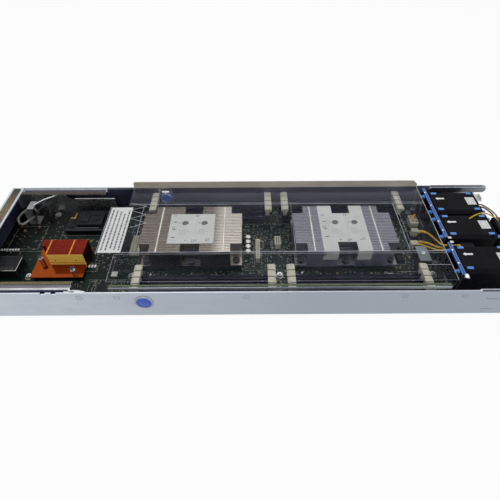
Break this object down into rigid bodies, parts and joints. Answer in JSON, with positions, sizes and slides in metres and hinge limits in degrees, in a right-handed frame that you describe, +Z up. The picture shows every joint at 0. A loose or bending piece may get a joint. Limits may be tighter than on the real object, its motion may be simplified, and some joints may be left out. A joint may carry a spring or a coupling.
{
  "type": "server node motherboard",
  "caption": "Half-width server node sled with mainboard, finned processor coolers, memory sockets with swinging latches, clear air shroud, dual-rotor fans and sprung release buttons.",
  "frame": {"origin": "centre of the sled's footprint, at the underside of the tray floor", "axes": "+X along the sled towards its fan end, +Y across it to the far side wall, +Z up"},
  "size_m": [0.622, 0.1768, 0.0504],
  "materials": {
    "galvanised": "satin",
    "steel": "satin",
    "gasket": "matt",
    "board": "satin",
    "aluminium_fin": "satin",
    "copper": "polished",
    "black_plastic": "matt",
    "latch_plastic": "matt",
    "clear_plastic": "gloss",
    "white_plastic": "matt",
    "fan_plastic": "matt",
    "blue_rubber": "matt",
    "blue_plastic": "satin",
    "chrome_ring": "polished",
    "yellow_wire": "satin",
    "black_wire": "satin",
    "chip_black": "matt",
    "processor_metal": "satin"
  },
  "bodies": {
    "sled": {"black_wires": "black_wire", "board_connectors": "latch_plastic", "board_screws": "steel", "button_rings": "chrome_ring", "cable_block": "black_plastic", "cage_strips": "blue_plastic", "capacitors": "processor_metal", "chips": "chip_black", "chipset_cooler_fins": "copper", "chipset_cooler_plate": "copper", "chipset_push_pins": "steel", "chokes": "chip_black", "cooler_screws": "steel", "corner_bracket": "steel", "fan_rubber_mounts": "blue_rubber", "far_bracket": "galvanised", "far_button_spring": "steel", "far_fan_cage": "galvanised", "far_fan_housing": "fan_plastic", "front_cooler_fins": "aluminium_fin", "front_cooler_plate": "aluminium_fin", "front_far_memory_sockets": "black_plastic", "front_near_memory_sockets": "black_plastic", "io_cage": "steel", "low_card": "chip_black", "mainboard": "board", "middle_fan_housing": "fan_plastic", "near_button_spring": "steel", "near_fan_cage": "galvanised", "near_fan_housing": "fan_plastic", "processor_sockets": "black_plastic", "processors": "processor_metal", "rear_cooler_fins": "aluminium_fin", "rear_cooler_plate": "aluminium_fin", "rear_far_memory_sockets": "black_plastic", "rear_gasket": "gasket", "rear_near_memory_sockets": "black_plastic", "rear_rim": "galvanised", "standoffs": "steel", "tray": "galvanised", "wire_plugs": "white_plastic", "yellow_wires": "yellow_wire"},
    "air_shroud": {"air_shroud": "clear_plastic", "shroud_rivets": "clear_plastic"},
    "near_release_button": {"near_release_button": "blue_plastic"},
    "far_release_button": {"far_release_button": "blue_plastic"},
    "near_fan_inlet_rotor": {"near_fan_inlet_rotor": "fan_plastic"},
    "near_fan_outlet_rotor": {"near_fan_outlet_rotor": "fan_plastic"},
    "middle_fan_inlet_rotor": {"middle_fan_inlet_rotor": "fan_plastic"},
    "middle_fan_outlet_rotor": {"middle_fan_outlet_rotor": "fan_plastic"},
    "far_fan_inlet_rotor": {"far_fan_inlet_rotor": "fan_plastic"},
    "far_fan_outlet_rotor": {"far_fan_outlet_rotor": "fan_plastic"},
    "rear_near_rear_latches": {"rear_near_rear_latches": "latch_plastic"},
    "rear_near_front_latches": {"rear_near_front_latches": "latch_plastic"},
    "rear_far_rear_latches": {"rear_far_rear_latches": "latch_plastic"},
    "rear_far_front_latches": {"rear_far_front_latches": "latch_plastic"},
    "front_near_rear_latches": {"front_near_rear_latches": "latch_plastic"},
    "front_near_front_latches": {"front_near_front_latches": "latch_plastic"},
    "front_far_rear_latches": {"front_far_rear_latches": "latch_plastic"},
    "front_far_front_latches": {"front_far_front_latches": "latch_plastic"}
  },
  "joints": [
    {"name": "shroud_lift", "type": "slide", "parent": "sled", "child": "air_shroud", "axis": [0, 0, 1], "range_m": [0, 0.06]},
    {"name": "near_button_press", "type": "slide", "parent": "sled", "child": "near_release_button", "axis": [0, 1, 0], "range_m": [0, 0.003], "stiffness_N_per_m": 1500, "deforming": ["near_button_spring"]},
    {"name": "far_button_press", "type": "slide", "parent": "sled", "child": "far_release_button", "axis": [0, -1, 0], "range_m": [0, 0.003], "stiffness_N_per_m": 1500, "deforming": ["far_button_spring"]},
    {"name": "near_inlet_spin", "type": "hinge", "parent": "sled", "child": "near_fan_inlet_rotor", "pos_m": [0.257, -0.042, 0.0212], "axis": [-1, 0, 0], "continuous": true},
    {"name": "near_outlet_spin", "type": "hinge", "parent": "sled", "child": "near_fan_outlet_rotor", "pos_m": [0.257, -0.042, 0.0212], "axis": [1, 0, 0], "continuous": true},
    {"name": "middle_inlet_spin", "type": "hinge", "parent": "sled", "child": "middle_fan_inlet_rotor", "pos_m": [0.257, 0.0105, 0.0212], "axis": [-1, 0, 0], "continuous": true},
    {"name": "middle_outlet_spin", "type": "hinge", "parent": "sled", "child": "middle_fan_outlet_rotor", "pos_m": [0.257, 0.0105, 0.0212], "axis": [1, 0, 0], "continuous": true},
    {"name": "far_inlet_spin", "type": "hinge", "parent": "sled", "child": "far_fan_inlet_rotor", "pos_m": [0.257, 0.054, 0.0212], "axis": [-1, 0, 0], "continuous": true},
    {"name": "far_outlet_spin", "type": "hinge", "parent": "sled", "child": "far_fan_outlet_rotor", "pos_m": [0.257, 0.054, 0.0212], "axis": [1, 0, 0], "continuous": true},
    {"name": "rear_near_rear_latch_swing", "type": "hinge", "parent": "sled", "child": "rear_near_rear_latches", "pos_m": [-0.1235, -0.0731, 0.0126], "axis": [0, -1, 0], "range_deg": [0, 20]},
    {"name": "rear_near_front_latch_swing", "type": "hinge", "parent": "sled", "child": "rear_near_front_latches", "pos_m": [0.0225, -0.0731, 0.0126], "axis": [0, 1, 0], "range_deg": [0, 20]},
    {"name": "rear_far_rear_latch_swing", "type": "hinge", "parent": "sled", "child": "rear_far_rear_latches", "pos_m": [-0.1235, 0.0547, 0.0126], "axis": [0, -1, 0], "range_deg": [0, 20]},
    {"name": "rear_far_front_latch_swing", "type": "hinge", "parent": "sled", "child": "rear_far_front_latches", "pos_m": [0.0225, 0.0547, 0.0126], "axis": [0, 1, 0], "range_deg": [0, 20]},
    {"name": "front_near_rear_latch_swing", "type": "hinge", "parent": "sled", "child": "front_near_rear_latches", "pos_m": [0.045, -0.0731, 0.0126], "axis": [0, -1, 0], "range_deg": [0, 20]},
    {"name": "front_near_front_latch_swing", "type": "hinge", "parent": "sled", "child": "front_near_front_latches", "pos_m": [0.191, -0.0731, 0.0126], "axis": [0, 1, 0], "range_deg": [0, 20]},
    {"name": "front_far_rear_latch_swing", "type": "hinge", "parent": "sled", "child": "front_far_rear_latches", "pos_m": [0.045, 0.0547, 0.0126], "axis": [0, -1, 0], "range_deg": [0, 20]},
    {"name": "front_far_front_latch_swing", "type": "hinge", "parent": "sled", "child": "front_far_front_latches", "pos_m": [0.191, 0.0547, 0.0126], "axis": [0, 1, 0], "range_deg": [0, 20]}
  ]
}
